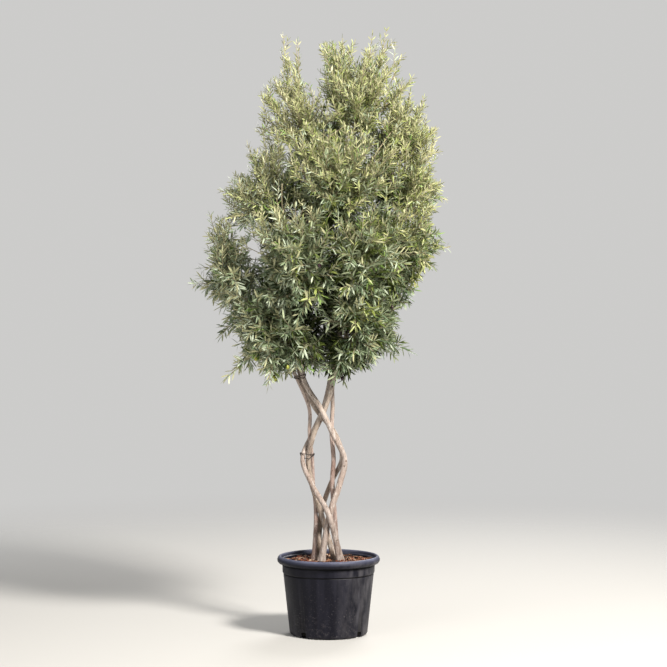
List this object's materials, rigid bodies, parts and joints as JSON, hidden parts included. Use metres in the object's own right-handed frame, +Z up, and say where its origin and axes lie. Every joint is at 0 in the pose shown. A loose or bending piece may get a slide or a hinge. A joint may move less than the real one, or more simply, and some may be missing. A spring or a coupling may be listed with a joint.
{
  "type": "potted olive tree",
  "caption": "Young olive tree with slender stems plaited into an open lattice under a full crown of narrow grey-green leaves, in a round tapered nursery pot",
  "frame": {"origin": "on the pot's axis, on the flat underside that the part stands on", "axes": "+Z up along the pot's axis and the tree; -Y towards the viewer who sees the plait's open diamond; +X to that viewer's right"},
  "size_m": [1.1281, 0.9511, 2.579],
  "materials": {
    "pot_plastic": "moulded charcoal plastic with a soft sheen",
    "bark_mulch": "reddish-brown bark chips over dark potting mix",
    "olive_bark": "smooth grey-cream bark with small knots",
    "leaves": "grey-green above, silvery beneath",
    "tie_wire": "dark brown coated wire"
  },
  "bodies": {
    "root": {"back_stem_lower": "olive_bark", "back_stem_upper": "olive_bark", "far_left_bough": "olive_bark", "far_left_foliage": "leaves", "front_stem_lower": "olive_bark", "front_stem_upper": "olive_bark", "inner_left_stem_lower": "olive_bark", "inner_left_stem_upper": "olive_bark", "left_upright_stem": "olive_bark", "low_back_left_bough": "olive_bark", "low_back_left_foliage": "leaves", "low_back_right_bough": "olive_bark", "low_back_right_foliage": "leaves", "low_front_left_bough": "olive_bark", "low_front_left_foliage": "leaves", "low_front_right_bough": "olive_bark", "low_front_right_foliage": "leaves", "middle_back_left_bough": "olive_bark", "middle_back_left_foliage": "leaves", "middle_back_right_bough": "olive_bark", "middle_back_right_foliage": "leaves", "middle_front_left_bough": "olive_bark", "middle_front_left_foliage": "leaves", "middle_front_right_bough": "olive_bark", "middle_front_right_foliage": "leaves", "middle_right_bough": "olive_bark", "middle_right_foliage": "leaves", "nursery_pot": "pot_plastic", "outer_left_stem_lower": "olive_bark", "outer_left_stem_upper": "olive_bark", "potting_mix": "bark_mulch", "right_upright_stem": "olive_bark", "tie_at_bend": "tie_wire", "tie_under_crown": "tie_wire", "top_centre_bough": "olive_bark", "top_centre_foliage": "leaves", "top_left_bough": "olive_bark", "top_left_foliage": "leaves", "top_right_bough": "olive_bark", "top_right_foliage": "leaves", "upper_back_bough": "olive_bark", "upper_back_foliage": "leaves", "upper_front_bough": "olive_bark", "upper_front_foliage": "leaves", "upper_left_bough": "olive_bark", "upper_left_foliage": "leaves", "upper_right_bough": "olive_bark", "upper_right_foliage": "leaves"}
  },
  "joints": []
}
